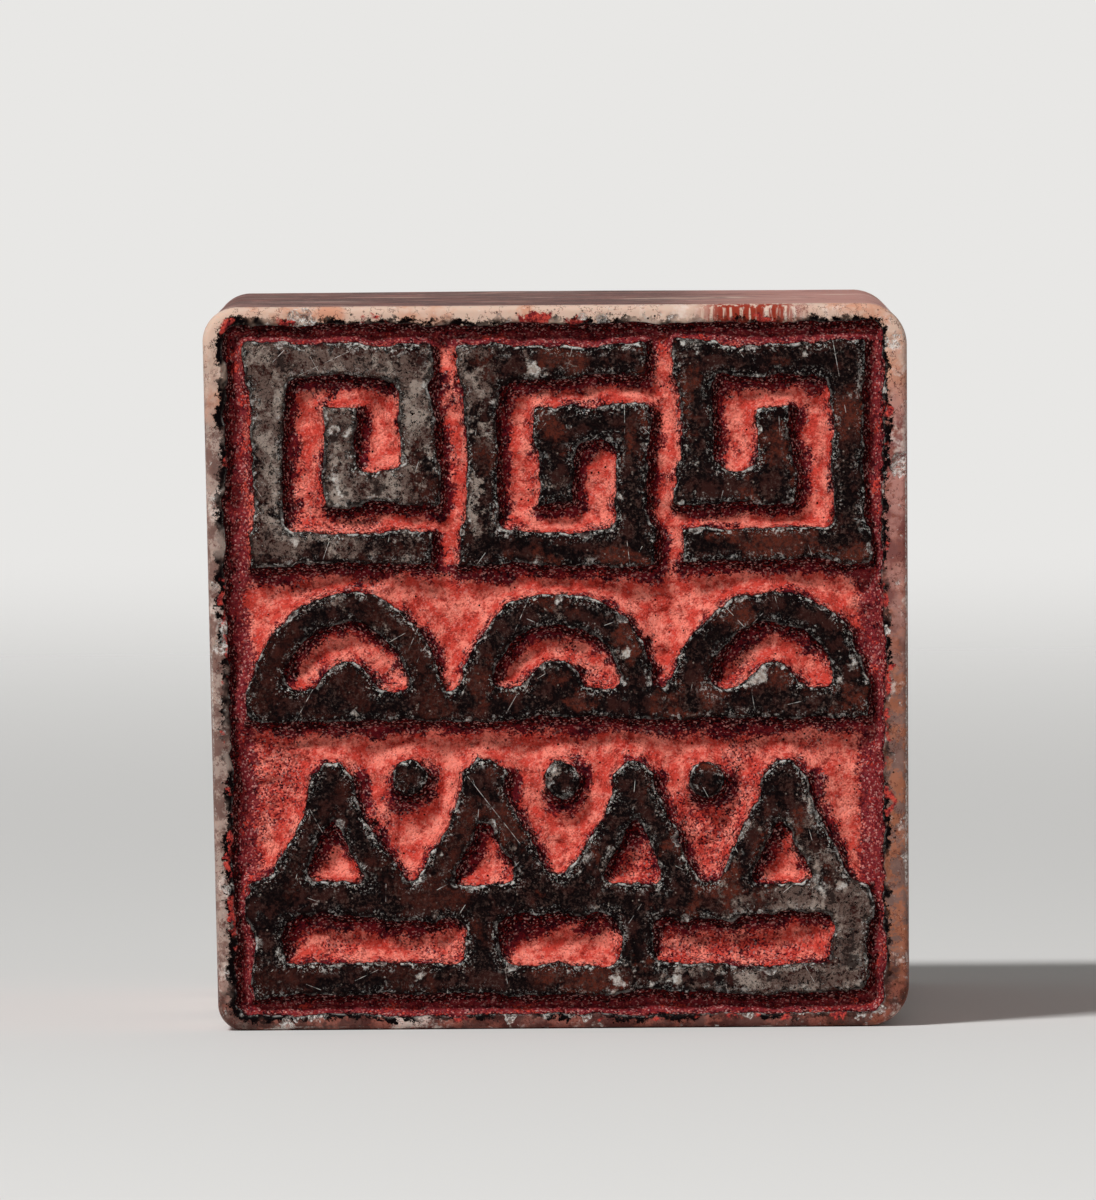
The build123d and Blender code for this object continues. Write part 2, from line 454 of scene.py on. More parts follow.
# Middle, radius and depth of each bite
def pickChips():
    dice = np.random.default_rng(7)
    u = dice.uniform(-block["width"] / 2, block["width"] / 2, bites["tries"])
    v = dice.uniform(-block["height"] / 2, block["height"] / 2, bites["tries"])
    cut = cutDistance(u, v)
    facingUp = (cutDistance(u, v + bites["step"]) - cut) / bites["step"]
    chances = bites["chances"]
    chance = np.where(facingUp < -0.5, chances["down"], chances["level"])
    chance = np.where(facingUp > 0.5, chances["up"], chance)
    keep = (np.abs(cut) < bites["nearEdge"]) & (dice.uniform(0, 1, u.size) < chance)
    u, v = u[keep][:bites["count"]], v[keep][:bites["count"]]
    radius = bites["radius"]
    size = radius["least"] + radius["spread"] * dice.uniform(0, 1, u.size) ** radius["power"]
    return list(zip(u, v, size, size * dice.uniform(*bites["depthShare"], u.size)))


def chipDepth(u, v, chips):
    deepest = np.zeros(u.shape)
    for cu, cv, size, deep in chips:
        reach = size * bites["reach"]
        near = np.flatnonzero((np.abs(u - cu) < reach) & (np.abs(v - cv) < reach))
        if near.size == 0:
            continue
        du, dv = u[near] - cu, v[near] - cv
        ragged = addSwells(1, bites["ragged"], u[near], v[near], 71)
        bite = np.clip(1 - (du * du + dv * dv) / (size * ragged) ** 2, 0, 1)
        deepest[near] = np.maximum(deepest[near], deep * bite ** bites["hollow"])
    return deepest


# A square grid of the face, its corners drawn round and its lines snapped to the stroke edges
def faceGrid(name):
    cellsWide, cellsHigh = carving["gridCells"]
    bpy.ops.object.select_all(action="DESELECT")
    bpy.ops.mesh.primitive_grid_add(x_subdivisions=cellsWide, y_subdivisions=cellsHigh, size=2)
    piece = bpy.context.object
    piece.name = piece.data.name = name
    points = readPoints(piece)
    down = (1 - points[:, 1]) / 2
    leftEdge = -block["width"] / 2 + block["leftLean"] * down
    rightEdge = block["width"] / 2 - block["rightLean"] * down
    u = leftEdge + (rightEdge - leftEdge) * (points[:, 0] + 1) / 2
    v = points[:, 1] * block["height"] / 2
    edge = (np.abs(points[:, :2]) > 1 - tiny).any(axis=1)
    corners = ((-1, 1, "topLeft"), (1, 1, "topRight"), (1, -1, "bottomRight"), (-1, -1, "bottomLeft"))
    for side, end, corner in corners:
        u, v = roundCorner(u, v, side, end, block["cornerRadii"][corner], leftEdge, rightEdge)
    cut = cutDistance(u, v)
    slopeU, slopeV = cutSlopes(u, v, carving["snapStep"])
    steep = np.maximum(slopeU ** 2 + slopeV ** 2, carving["leastSteep"])
    snap = (np.abs(cut) < block["width"] / cellsWide / 2) & ~edge
    u = np.where(snap, u - cut * slopeU / steep, u)
    v = np.where(snap, v - cut * slopeV / steep, v)
    cut = np.where(snap, 0, cut)
    return piece, u, v, cut, edge


def roundCorner(u, v, side, end, radius, leftEdge, rightEdge):
    across = (u - leftEdge if side < 0 else rightEdge - u) / radius
    down = (block["height"] / 2 - end * v) / radius
    inside = (across < 1) & (down < 1)
    i, j = 1 - np.where(inside, across, 1), 1 - np.where(inside, down, 1)
    reach = np.maximum(i, j)
    low, high = np.minimum(i, j), np.maximum(reach, 1e-9)
    angle = np.where(i >= j, math.pi / 4 * low / high, math.pi / 2 - math.pi / 4 * low / high)
    newAcross, newDown = 1 - reach * np.cos(angle), 1 - reach * np.sin(angle)
    newU = leftEdge + newAcross * radius if side < 0 else rightEdge - newAcross * radius
    newV = end * (block["height"] / 2 - newDown * radius)
    return np.where(inside, newU, u), np.where(inside, newV, v)


def readPoints(piece):
    points = np.empty(len(piece.data.vertices) * 3)
    piece.data.vertices.foreach_get("co", points)
    return points.reshape(-1, 3)


def writePoints(piece, points):
    piece.data.vertices.foreach_set("co", np.ascontiguousarray(points).ravel())
    piece.data.update()


def readEdges(piece):
    edges = np.empty(len(piece.data.edges) * 2, int)
    piece.data.edges.foreach_get("vertices", edges)
    return edges.reshape(-1, 2)


# From face measures in mm to places in the frame, in metres
def facePlace(u, v, depth):
    return np.column_stack((u * mm, stoneLow.y + depth * mm, middleZ + v * mm))


def fromPlace(points):
    return points[:, 0] / mm, (points[:, 2] - middleZ) / mm, (points[:, 1] - stoneLow.y) / mm


def selectPoints(piece, wanted):
    bpy.ops.object.mode_set(mode="OBJECT")
    mesh = piece.data
    bpy.context.tool_settings.mesh_select_mode = (True, False, False)
    wanted = np.asarray(wanted, bool)
    mesh.vertices.foreach_set("select", wanted)
    mesh.edges.foreach_set("select", wanted[readEdges(piece)].all(axis=1))
    mesh.polygons.foreach_set("select", np.zeros(len(mesh.polygons), bool))
    bpy.ops.object.mode_set(mode="EDIT")


def thinOut(piece, triangles):
    count = sum(len(polygon.vertices) - 2 for polygon in piece.data.polygons)
    if count > triangles:
        modifier = piece.modifiers.new("thinOut", "DECIMATE")
        modifier.ratio = triangles / count
        bpy.ops.object.modifier_apply(modifier=modifier.name)


def keepAttribute(piece, name, values):
    attribute = piece.data.attributes.new(name, "FLOAT", "POINT")
    attribute.data.foreach_set("value", np.asarray(values, np.float32))


column = {
    "rings": 26,
    "endRings": 12,
    "endShare": 0.002,  # the far end is drawn together to this share, and then rounded
    "endPower": 1.9,
    "endDent": 0.6,
    "unevenness": ((9.0, 0.05), (2.6, 0.018)),
    "unevenFrom": (0.3, 2.5),  # mm behind the face
    "flatSides": (0.6, 0.95),  # share of the way from the middle to a side
    "merge": 0.004,
    "smoothAngle": 55,
}

# Larger bites out of the rim's outer edge
rimBites = {
    "count": 26,
    "radius": {"least": 0.12, "spread": 0.4, "power": 3},
    "depthShare": (0.25, 0.5),
    "farOff": 30.0,  # each comes in from here in steps until it meets the edge
    "steps": 40,
    "stepShare": 0.96,
}


def pickRimChips():
    dice = np.random.default_rng(17)
    radius, nearer = rimBites["radius"], rimBites["stepShare"]
    chips = []
    for i in range(rimBites["count"]):
        side = dice.uniform(0, 2 * math.pi)
        size = radius["least"] + radius["spread"] * dice.uniform(0, 1) ** radius["power"]
        u, v = rimBites["farOff"] * math.cos(side), rimBites["farOff"] * math.sin(side)
        for step in range(rimBites["steps"]):
            outside = outlineInset(np.array([u]), np.array([v]))[0] < 0
            u, v = (u * nearer, v * nearer) if outside else (u, v)
        chips.append((u, v, size, size * dice.uniform(*rimBites["depthShare"])))
    return chips


def makeStone():
    piece, u, v, cut, edge = faceGrid("sealStone")
    inset = np.maximum(outlineInset(u, v), 0)
    inset[edge] = 0
    radius = block["faceEdgeRadius"]
    chips, rimChips = pickChips(), pickRimChips()
    depth = np.maximum(stoneDepth(cut, u, v), chipDepth(u, v, chips))
    depth = np.maximum(np.maximum(depth, chipDepth(u, v, rimChips)), edgeFall(inset, radius))
    depth[edge] = radius
    writePoints(piece, facePlace(u, v, depth))
    print("face carved:", len(piece.data.vertices), "points")

    faceCount = len(piece.data.vertices)
    end = block["length"] - block["plainEndRadius"]
    selectPoints(piece, edge)
    bpy.ops.mesh.extrude_edges_move(TRANSFORM_OT_translate={"value": (0, (end - radius) * mm, 0)})
    bpy.ops.object.mode_set(mode="OBJECT")
    sideEdges(piece, faceCount, column["rings"])
    last = readPoints(piece)[:, 1] > stoneLow.y + (end - 0.01) * mm
    selectPoints(piece, last)
    bpy.ops.mesh.extrude_edges_move(TRANSFORM_OT_translate={"value": (0, block["plainEndRadius"] * mm, 0)})
    share = column["endShare"]
    bpy.ops.transform.resize(value=(share, 1, share), center_override=Vector((0, 0, middleZ)))
    bpy.ops.object.mode_set(mode="OBJECT")
    sideEdges(piece, len(last), column["endRings"])
    shapeColumn(piece, faceCount)
    print("column drawn back:", len(piece.data.vertices), "points")
    return piece, chips, rimChips


# Cuts the newest long edges, those that reach past the first points, into even stretches
def sideEdges(piece, firstNew, cuts):
    mesh = piece.data
    new = readEdges(piece) >= firstNew
    crossing = new[:, 0] != new[:, 1]
    mesh.vertices.foreach_set("select", np.zeros(len(mesh.vertices), bool))
    mesh.polygons.foreach_set("select", np.zeros(len(mesh.polygons), bool))
    mesh.edges.foreach_set("select", crossing)
    bpy.context.tool_settings.mesh_select_mode = (False, True, False)
    bpy.ops.object.mode_set(mode="EDIT")
    bpy.ops.mesh.subdivide(number_cuts=cuts)
    bpy.ops.object.mode_set(mode="OBJECT")


# Rounds the far end and makes the long sides a little uneven, except the one that it lies on
def shapeColumn(piece, faceCount):
    points = readPoints(piece)
    u, v, depth = fromPlace(points)
    back = np.arange(len(points)) >= faceCount
    radius = block["plainEndRadius"]
    end = block["length"]
    cap = back & (depth > end - radius + 0.001)
    share = np.clip((depth - (end - radius)) / radius, 0, 1)
    scale = np.where(cap, 1 / np.maximum(1 - (1 - column["endShare"]) * share, tiny), 1)
    wideU, wideV = u * scale, v * scale
    shrink = np.where(cap, 1 - share ** column["endPower"], 1)
    u, v = np.where(cap, wideU * shrink, u), np.where(cap, wideV * shrink, v)
    inset = np.maximum(outlineInset(u, v), 0)
    depth = np.where(cap, end - edgeFall(inset, radius), depth)
    dent = 0
    for i, (cell, size) in enumerate(column["unevenness"]):
        dent = dent + size * (1 + grain(u, depth, v, cell, 81 + i)) / 2
    fade = smoothStep(*column["unevenFrom"], depth) * back
    slopeU = np.sign(u) * smoothStep(*column["flatSides"], np.abs(u) / (block["width"] / 2))
    slopeV = np.sign(v) * smoothStep(*column["flatSides"], np.abs(v) / (block["height"] / 2))
    u = u - dent * fade * slopeU
    v = v - dent * fade * slopeV * (v > 0)
    depth = np.where(cap, depth - dent * column["endDent"], depth)
    writePoints(piece, facePlace(u, v, depth))
    bpy.ops.object.mode_set(mode="EDIT")
    bpy.ops.mesh.select_all(action="SELECT")
    bpy.ops.mesh.remove_doubles(threshold=column["merge"] * mm)
    bpy.ops.mesh.normals_make_consistent(inside=False)
    bpy.ops.object.mode_set(mode="OBJECT")


# Nothing reaches past the box of the solids
def holdInside(piece):
    writePoints(piece, np.clip(readPoints(piece), np.array(cadLow), np.array(cadHigh)))


stone, chips, rimChips = makeStone()
thinOut(stone, carving["triangles"])
holdInside(stone)
bpy.ops.object.shade_smooth_by_angle(angle=math.radians(column["smoothAngle"]))
print("stone:", len(stone.data.polygons), "faces")


# The sheet of paste, cut at the strokes and the rim and parted into one pool for each node
def makePaste():
    piece, u, v, cut, edge = faceGrid("driedPaste")
    writePoints(piece, facePlace(u, v, pasteDepth(cut, u, v)))
    selectPoints(piece, cut < -tiny)
    bpy.ops.mesh.delete(type="VERT")
    bpy.ops.mesh.separate(type="LOOSE")
    bpy.ops.object.mode_set(mode="OBJECT")
    pools = [o for o in bpy.context.selected_objects if o.type == "MESH"]
    named = {}
    for node in [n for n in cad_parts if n.startswith("paste_")]:
        low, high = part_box(node)
        target = np.array([low.x, low.z, high.x, high.z])
        best = min(pools, key=lambda pool: np.abs(poolExtent(pool) - target).sum())
        named[node] = best
    for pool in pools:
        if pool not in named.values():
            bpy.data.objects.remove(pool)
    return named


def poolExtent(pool):
    points = readPoints(pool)
    low, high = points.min(axis=0), points.max(axis=0)
    return np.array([low[0], low[2], high[0], high[2]])


def finishPool(node, pool):
    bpy.ops.object.select_all(action="DESELECT")
    bpy.context.view_layer.objects.active = pool
    pool.select_set(True)
    parts = node.split("_")
    pool.name = pool.data.name = parts[0] + "".join(part.capitalize() for part in parts[1:])
    wall = pool.modifiers.new("thickness", "SOLIDIFY")
    wall.thickness = paste["thickness"] * mm
    wall.offset = -1
    bpy.ops.object.modifier_apply(modifier=wall.name)
    points = readPoints(pool)
    half = len(points) // 2
    points[half:, 1] = np.maximum(points[half:, 1], points[:half, 1] + paste["leastThickness"] * mm)
    writePoints(pool, points)
    thinOut(pool, paste["triangles"].get(node, paste["otherTriangles"]))
    holdInside(pool)
    bpy.ops.object.shade_smooth()


pools = makePaste()
for node, pool in pools.items():
    finishPool(node, pool)
print("paste pools:", len(pools))


# What the materials follow: distances to the cut edges and the rim, measured on the finished meshes
measures = {
    "frontDepth": 1.6,
    "chippedDepth": 0.6,
    "away": -9,  # stands for a place far from any cut
    "stoneStep": 0.06,
    "pasteStep": 0.15,
    # how much the upward slope counts for, and the rightward slope against, the side of a pool that faces
    # the light, for the paste's painted shade
    "rubbedShares": {"up": 0.85, "right": 0.55},
}


def measureStone():
    u, v, depth = fromPlace(readPoints(stone))
    front, away = depth < measures["frontDepth"], measures["away"]
    keepAttribute(stone, "cut", np.where(front, cutDistance(u, v), away))
    keepAttribute(stone, "pocket", np.where(front, pocketInset(u, v), away))
    right, up = cutSlopes(u, v, measures["stoneStep"])
    keepAttribute(stone, "upper", np.where(front, up, 0))
    fresh = np.maximum(chipDepth(u, v, chips), chipDepth(u, v, rimChips))
    keepAttribute(stone, "fresh", np.where(front & (depth < measures["chippedDepth"]), fresh, 0))


def measurePaste():
    shares = measures["rubbedShares"]
    for pool in pools.values():
        u, v, depth = fromPlace(readPoints(pool))
        keepAttribute(pool, "cut", cutDistance(u, v))
        keepAttribute(pool, "pocket", pocketInset(u, v))
        right, up = cutSlopes(u, v, measures["pasteStep"])
        # higher on the side of a pool that faces the light, lower on the side in shadow, for the paste's
        # painted shade
        keepAttribute(pool, "rubbed", shares["up"] * up - shares["right"] * right)


measureStone()
measurePaste()
print("surfaces measured")


# Small tools for node materials. Patterns run on Object coordinates, in mm
class Bench:
    def __init__(self, name, colours=None):
        self.colours = colours
        self.material = bpy.data.materials.new(name)
        self.material.use_nodes = True
        self.nodes = self.material.node_tree.nodes
        self.links = self.material.node_tree.links
        self.shader = self.nodes["Principled BSDF"]
        coordinates = self.nodes.new("ShaderNodeTexCoord")
        self.place = self.vector("SCALE", coordinates.outputs["Object"], scale=1 / mm)

    def put(self, socket, value):
        if isinstance(value, bpy.types.NodeSocket):
            self.links.new(value, socket)
        else:
            socket.default_value = value

    def vector(self, operation, a, b=None, scale=None):
        node = self.nodes.new("ShaderNodeVectorMath")
        node.operation = operation
        self.put(node.inputs[0], a)
        if b is not None:
            self.put(node.inputs[1], b)
        if scale is not None:
            self.put(node.inputs["Scale"], scale)
        return node.outputs["Value" if operation in ("DISTANCE", "LENGTH") else "Vector"]

    def reckon(self, operation, a, b=0.0):
        node = self.nodes.new("ShaderNodeMath")
        node.operation = operation
        self.put(node.inputs[0], a)
        self.put(node.inputs[1], b)
        return node.outputs[0]

    def plus(self, a, b):
        return self.reckon("ADD", a, b)

    def minus(self, a, b):
        return self.reckon("SUBTRACT", a, b)

    def times(self, a, b):
        return self.reckon("MULTIPLY", a, b)

    def larger(self, a, b):
        return self.reckon("MAXIMUM", a, b)

    def isLess(self, a, b):
        return self.reckon("LESS_THAN", a, b)

    def unsigned(self, a):
        return self.reckon("ABSOLUTE", a)

    # A smooth rise from outLow to outHigh while the value goes from low to high
    def between(self, value, low, high, outLow=0.0, outHigh=1.0):
        node = self.nodes.new("ShaderNodeMapRange")
        node.interpolation_type = "SMOOTHSTEP"
        self.put(node.inputs["Value"], value)
        self.put(node.inputs["From Min"], low)
        self.put(node.inputs["From Max"], high)
        self.put(node.inputs["To Min"], outLow)
        self.put(node.inputs["To Max"], outHigh)
        return node.outputs["Result"]

    def noise(self, cell, detail=3.0, roughness=0.55, where=None, distortion=0.0):
        node = self.nodes.new("ShaderNodeTexNoise")
        self.put(node.inputs["Vector"], where or self.place)
        node.inputs["Scale"].default_value = 1 / cell
        node.inputs["Detail"].default_value = detail
        node.inputs["Roughness"].default_value = roughness
        node.inputs["Distortion"].default_value = distortion
        return node.outputs["Fac"]

    # A noise made into patches: none where it is under low, full where it is over high
    def patches(self, cell, detail, roughness, low, high, outLow=0.0, outHigh=1.0, **options):
        return self.between(self.noise(cell, detail, roughness, **options), low, high, outLow, outHigh)

    # How far a noise is from its middle, for lines along it
    def offMiddle(self, noise):
        return self.unsigned(self.minus(noise, 0.5))

    # Grains of one size: how far a point is from its grain's middle, and two numbers of the grain's own
    def grains(self, cell):
        node = self.nodes.new("ShaderNodeTexVoronoi")
        self.put(node.inputs["Vector"], self.place)
        node.inputs["Scale"].default_value = 1 / cell
        tone, pick, unused = self.split(node.outputs["Color"])
        return node.outputs["Distance"], tone, pick

    # Round spots in a share of the cells
    def dots(self, cell, radius, share):
        distance, tone, pick = self.grains(cell)
        spot = self.between(distance, radius / cell, radius / cell * 0.6)
        return self.times(spot, self.isLess(tone, share))

    # A noise turned into a swing to both sides of 0
    def swing(self, noise, amount):
        return self.times(self.minus(noise, 0.5), amount)

    def split(self, value):
        node = self.nodes.new("ShaderNodeSeparateXYZ")
        self.put(node.inputs[0], value)
        return node.outputs

    # Mixes two colours, each the name of one or a mix itself
    def mix(self, share, a, b):
        node = self.nodes.new("ShaderNodeMix")
        node.data_type = "RGBA"
        self.put(node.inputs["Factor"], share)
        for name, tone in (("A", a), ("B", b)):
            self.put(node.inputs[name], colour(self.colours[tone]) if isinstance(tone, str) else tone)
        return node.outputs["Result"]

    def attribute(self, name):
        node = self.nodes.new("ShaderNodeAttribute")
        node.attribute_name = name
        return node.outputs["Fac"]

    # Sets one of the shader's own values, the same all over or from a pattern
    def finish(self, name, value):
        self.put(self.shader.inputs[name], value)

    # Fine unevenness in the light, as deep in mm as the height says times the depth
    def roughen(self, height, depth):
        node = self.nodes.new("ShaderNodeBump")
        node.inputs["Strength"].default_value = 1.0
        node.inputs["Distance"].default_value = depth * mm
        self.put(node.inputs["Height"], height)
        self.finish("Normal", node.outputs["Normal"])

    # Short straight scratches at random angles on the face, one to a cell
    def scratches(self, cell, width, share, shift):
        x, y, z = self.split(self.place)
        face = self.nodes.new("ShaderNodeCombineXYZ")
        self.put(face.inputs["X"], x)
        self.put(face.inputs["Y"], z)
        moved = self.vector("ADD", face.outputs["Vector"], (shift, shift, 0))
        flat = self.vector("SCALE", moved, scale=1 / cell)
        node = self.nodes.new("ShaderNodeTexVoronoi")
        node.voronoi_dimensions = "2D"
        self.put(node.inputs["Vector"], flat)
        node.inputs["Scale"].default_value = 1
        red, green, blue = self.split(node.outputs["Color"])
        turn = self.nodes.new("ShaderNodeVectorRotate")
        turn.rotation_type = "Z_AXIS"
        self.put(turn.inputs["Vector"], self.vector("SUBTRACT", flat, node.outputs["Position"]))
        self.put(turn.inputs["Angle"], self.times(red, math.pi))
        along, across, nothing = self.split(turn.outputs["Vector"])
        narrow = self.between(self.unsigned(across), width / cell, width / cell * 0.4)
        reach = self.times(green, 0.45)
        short = self.isLess(self.unsigned(along), reach)
        chosen = self.isLess(blue, share)
        return self.times(self.times(narrow, short), chosen)


# Colours are written as sRGB from 0 to 255, as a picture shows them
def colour(value):
    linear = [(c / 255 / 12.92) if c <= 10 else ((c / 255 + 0.055) / 1.055) ** 2.4 for c in value]
    return (*linear, 1.0)


stoneColours = {
    "cream": (214, 184, 166),
    "peach": (206, 150, 124),
    "pink": (180, 128, 118),
    "rose": (128, 76, 72),
    "russet": (132, 74, 62),
    "deepRusset": (84, 38, 33),
    "vein": (70, 26, 24),
    "whiteVein": (232, 214, 204),
    "ink": (8, 3, 4),
    "charcoal": (25, 14, 14),
    "umber": (59, 30, 26),
    "amber": (100, 44, 32),
    "ash": (82, 62, 56),
    "taupe": (112, 92, 84),
    "bone": (172, 156, 145),
    "tan": (158, 100, 72),
    "crystal": (228, 222, 216),
    "plum": (42, 10, 16),
    "maroon": (100, 26, 34),
    "coral": (204, 76, 64),
    "brush": (150, 56, 40),
}

# One stone with two finishes: its sides are polished, its cut end is dulled by ink
stoneFinish = {
    "polishedSpecular": 0.45,
    "inkedSpecular": 0.02,
    "faceDepth": 0.45,  # mm behind the face, how far the ink reaches on the rim and in the recesses
    "pocketDepth": 2.4,
    "glow": 0.22,  # light that goes through the stone's skin
    "glowColours": (1.0, 0.42, 0.3),
    "glowReach": 1.1,
    "grainDepth": 0.06,
    "scratches": ((2.6, 0.018, 0.26, 3.3), (1.3, 0.015, 0.22, 17.1), (4.7, 0.018, 0.22, 41.7)),
}

# Where stains and the painted shade of the top side start and end on the stone, in mm: x from its middle, z
# up from what it lies on
stainsAndShade = {
    "palerRight": (2, 13),
    "warmRight": (-9, 3),
    # painted shade on the side that faces up, fading out towards its right
    "darkTopSide": (3, 11),
    "topEdge": (30.1, 30.5),
    "creamAbove": (25.0, 29.4),
    "brownBelow": (3.0, 0.4),
    "wornLeft": (-8, -13),
    "tanRight": (9, 13),
    "tanBelow": (24, 10),
    "inkedLeft": (-10, -14),
    "wiped": {"from": (5.6, 7.2), "to": (11.4, 9.4), "above": (28.9, 29.6)},
    "greyLeft": {"middle": (-12, 28), "reach": (15, 3)},
    "greyRight": {"middle": (12, 3), "reach": (9, 2)},
    "fingered": (7.0, 0.2),  # behind the face
}


# The polished body: cream and pink clouds in russet, with veins
def bodyColours(b, x, side, behind, upSide):
    clouds = b.noise(11, 4, 0.6, distortion=0.6)
    palerRight = b.between(x, *stainsAndShade["palerRight"], 0.0, 0.2)
    body = b.mix(b.between(b.plus(clouds, palerRight), 0.42, 0.62), "russet", "pink")
    body = b.mix(b.patches(5.5, 4, 0.6, 0.52, 0.7), body, "cream")
    body = b.mix(b.patches(8, 5, 0.65, 0.56, 0.7, distortion=1.2), body, "deepRusset")
    veinLine = b.offMiddle(b.noise(9, 3, 0.5, distortion=0.7))
    broken = b.patches(3.4, 4, 0.6, 0.4, 0.62)
    body = b.mix(b.times(b.between(veinLine, 0.024, 0.0, 0.0, 0.42), broken), body, "vein")
    stretched = b.vector("MULTIPLY", b.place, (0.8, 0.3, 1.3))
    paleLine = b.offMiddle(b.noise(6.5, 6, 0.62, where=stretched, distortion=0.4))
    thin = b.times(b.between(paleLine, 0.012, 0.0, 0.0, 0.4), b.patches(2.7, 4, 0.6, 0.5, 0.66))
    body = b.mix(thin, body, "whiteVein")
    body = b.mix(b.times(b.dots(0.9, 0.12, 0.16), 0.6), body, "vein")
    body = b.mix(b.patches(0.7, 5, 0.7, 0.5, 0.85, 0.0, 0.3), body, "russet")

    # painted shade: the side that faces up is darkened, except at its right
    spotted = b.mix(b.patches(1.1, 5, 0.7, 0.56, 0.66, 0.0, 0.7), "umber", "pink")
    topSideShade = b.patches(4.5, 6, 0.7, 0.36, 0.56, 0.4, 1.0)
    topSideShade = b.times(b.between(side, *stainsAndShade["darkTopSide"], 0.9, 0.1), topSideShade)
    body = b.mix(b.times(upSide, topSideShade), body, spotted)

    # paste that fingers have carried over the edge and along the sides
    smear = b.times(b.between(behind, *stainsAndShade["fingered"]), b.patches(2.2, 6, 0.7, 0.45, 0.8))
    return b.mix(b.times(smear, 0.55), body, "coral")


# The rim: cream along the top, browner down the sides and along the bottom
def rimColours(b, x, z, side, height, pocket, fine, elsewhere):
    colour = b.mix(b.patches(1.4, 5, 0.65, 0.42, 0.58), "rose", "pink")
    colour = b.mix(b.patches(0.6, 5, 0.7, 0.53, 0.64, 0.0, 0.8), colour, "russet")
    worn = b.mix(b.patches(0.9, 6, 0.75, 0.46, 0.56), "taupe", "bone")
    colour = b.mix(b.between(side, *stainsAndShade["wornLeft"], 0.0, 0.8), colour, worn)
    stained = b.mix(b.patches(0.8, 6, 0.75, 0.47, 0.56), "taupe", "tan")
    low = b.between(height, *stainsAndShade["tanBelow"], 0.0, 0.8)
    colour = b.mix(b.times(b.between(side, *stainsAndShade["tanRight"]), low), colour, stained)
    creamy = b.mix(b.patches(2.0, 4, 0.6, 0.46, 0.6), "cream", "peach")
    colour = b.mix(b.between(height, *stainsAndShade["creamAbove"]), colour, creamy)
    lowest = b.mix(b.patches(1.3, 5, 0.7, 0.46, 0.58), "umber", "russet")
    colour = b.mix(b.between(height, *stainsAndShade["brownBelow"], 0.0, 0.8), colour, lowest)
    frosted = b.times(b.patches(2.6, 6, 0.7, 0.54, 0.62, where=elsewhere), 0.6)
    colour = b.mix(frosted, colour, "whiteVein")
    colour = b.mix(b.patches(0.5, 5, 0.75, 0.6, 0.68, 0.0, 0.6), colour, "crystal")
    crack = b.offMiddle(b.noise(1.7, 5, 0.7))
    colour = b.mix(b.between(crack, 0.008, 0.003, 0.0, 0.7), colour, "deepRusset")

    # where a brush was wiped on the top rim
    streaks = b.noise(0.2, 3, 0.6, where=b.vector("MULTIPLY", b.place, (1.0, 1.0, 0.1)))
    wipe = stainsAndShade["wiped"]
    wiped = b.times(b.between(x, *wipe["from"]), b.between(x, *wipe["to"]))
    wiped = b.times(b.times(wiped, b.between(z, *wipe["above"])), b.between(streaks, 0.38, 0.54))
    colour = b.mix(wiped, colour, "brush")

    # ragged ink and paste along the rim's inner margin
    dirty = b.between(x, *stainsAndShade["inkedLeft"], 0.0, 0.14)
    ragged = b.plus(b.plus(pocket, dirty), b.swing(b.noise(0.5, 6, 0.8), 1.9))
    inked = b.times(b.between(ragged, -0.24, -0.17), b.patches(2.7, 4, 0.6, 0.38, 0.5, 0.25, 1.0))
    colour = b.mix(inked, colour, "ink")
    bleed = b.between(b.plus(pocket, b.swing(b.noise(0.7, 5, 0.75), 1.7)), -0.3, -0.2)
    bleed = b.times(bleed, b.patches(1.9, 4, 0.6, 0.56, 0.61))
    colour = b.mix(bleed, colour, b.mix(b.between(fine, 0.4, 0.6), "maroon", "coral"))
    specks = b.times(b.dots(0.28, 0.055, 0.3), b.between(pocket, -0.85, -0.3))
    return b.mix(specks, colour, "ink")


def greyPatch(b, patch):
    middle = (patch["middle"][0], stoneLow.y / mm, patch["middle"][1])
    return b.between(b.vector("DISTANCE", b.place, middle), *patch["reach"])


